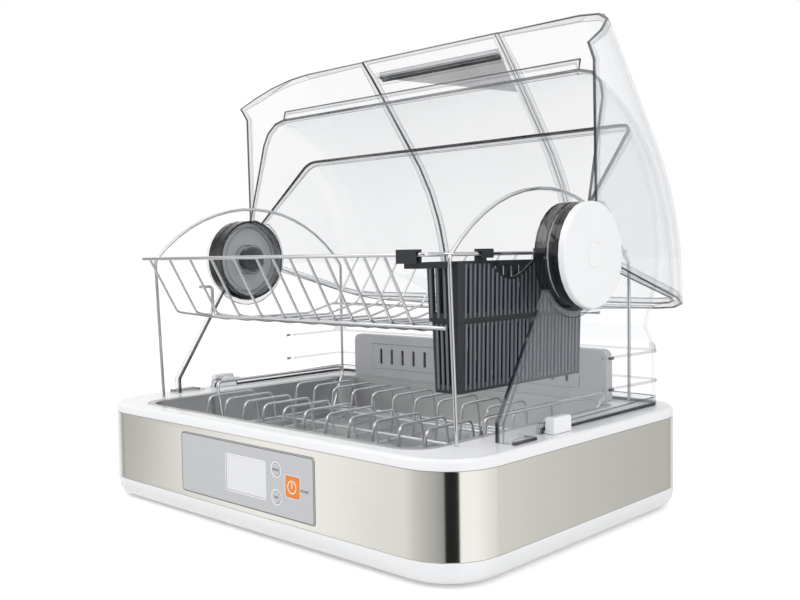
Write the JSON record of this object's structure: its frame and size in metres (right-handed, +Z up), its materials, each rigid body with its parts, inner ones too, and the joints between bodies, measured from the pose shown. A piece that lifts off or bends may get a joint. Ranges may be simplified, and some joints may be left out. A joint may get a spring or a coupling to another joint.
{
  "type": "countertop dish dryer",
  "caption": "Countertop dish dryer: a warm-air base with a drip tray, wire racks, a cutlery basket and a clear telescoping hood that turns back about its sides.",
  "frame": {"origin": "middle of the bottom of the bounding box with the hood open, on the surface it stands on", "axes": "+X to the object's right seen from its front, +Y from the front panel to the back, +Z up"},
  "size_m": [0.5, 0.4011, 0.4704],
  "materials": {
    "grey": "moulded, satin",
    "white": "moulded, satin gloss",
    "circuit": "laminate",
    "panel": "brushed silver",
    "black": "moulded",
    "dark": "moulded, fine grain",
    "window": "pale display lens",
    "tray": "brushed",
    "zinc": "zinc plated",
    "clear": "clear moulded plastic",
    "aluminium": "bare",
    "foam": "open foam",
    "wire": "plated wire",
    "pale_button": "satin",
    "orange": "satin",
    "rubber": "matte",
    "band": "polished along its length"
  },
  "bodies": {
    "base": {"air_duct": "grey", "bottom_pan": "white", "button_board": "circuit", "control_board": "circuit", "control_panel": "panel", "cord_gland": "black", "cover_clip_left": "white", "cover_clip_right": "white", "cutlery_basket": "dark", "display_window": "window", "drip_tray": "tray", "fan_bracket": "zinc", "fan_motor": "zinc", "fan_scoop": "grey", "heater": "aluminium", "hinge_cap_left": "white", "hinge_cap_right": "white", "hinge_pin_left": "grey", "hinge_pin_right": "grey", "hinge_spacer_left": "grey", "hinge_spacer_right": "grey", "intake_filter": "foam", "lower_rack": "wire", "outlet_grille": "grey", "pan_screw_front_left": "zinc", "pan_screw_front_right": "zinc", "pan_screw_rear_left": "zinc", "pan_screw_rear_right": "zinc", "rear_cover": "clear", "rubber_foot_front_left": "rubber", "rubber_foot_front_right": "rubber", "rubber_foot_rear_left": "rubber", "rubber_foot_rear_right": "rubber", "steel_band": "band", "top_rim": "white", "upper_rack": "wire"},
    "lid": {"front_lid": "clear"},
    "middle": {"middle_cover": "clear"},
    "fan": {"fan_wheel": "black"},
    "mode_key": {"mode_button": "pale_button"},
    "time_key": {"time_button": "pale_button"},
    "power_key": {"power_button": "orange"}
  },
  "joints": [
    {"name": "lid_swing", "type": "hinge", "parent": "base", "child": "lid", "pos_m": [0, -0.01264, 0.2465], "axis": [1, 0, 0], "range_deg": [0, 146]},
    {"name": "middle_swing", "type": "hinge", "parent": "base", "child": "middle", "pos_m": [0, -0.01264, 0.2465], "axis": [1, 0, 0], "range_deg": [0, 60.5]},
    {"name": "fan_spin", "type": "hinge", "parent": "base", "child": "fan", "pos_m": [0, 0.12936, 0.042], "axis": [1, 0, 0], "continuous": true},
    {"name": "mode_press", "type": "slide", "parent": "base", "child": "mode_key", "axis": [0, 1, 0], "range_m": [0, 0.0008], "stiffness_N_per_m": 400},
    {"name": "time_press", "type": "slide", "parent": "base", "child": "time_key", "axis": [0, 1, 0], "range_m": [0, 0.0008], "stiffness_N_per_m": 400},
    {"name": "power_press", "type": "slide", "parent": "base", "child": "power_key", "axis": [0, 1, 0], "range_m": [0, 0.0008], "stiffness_N_per_m": 400}
  ],
  "couplings": [
    {"joint": "middle_swing", "follows": "lid_swing", "ratio": 0.41096}
  ]
}
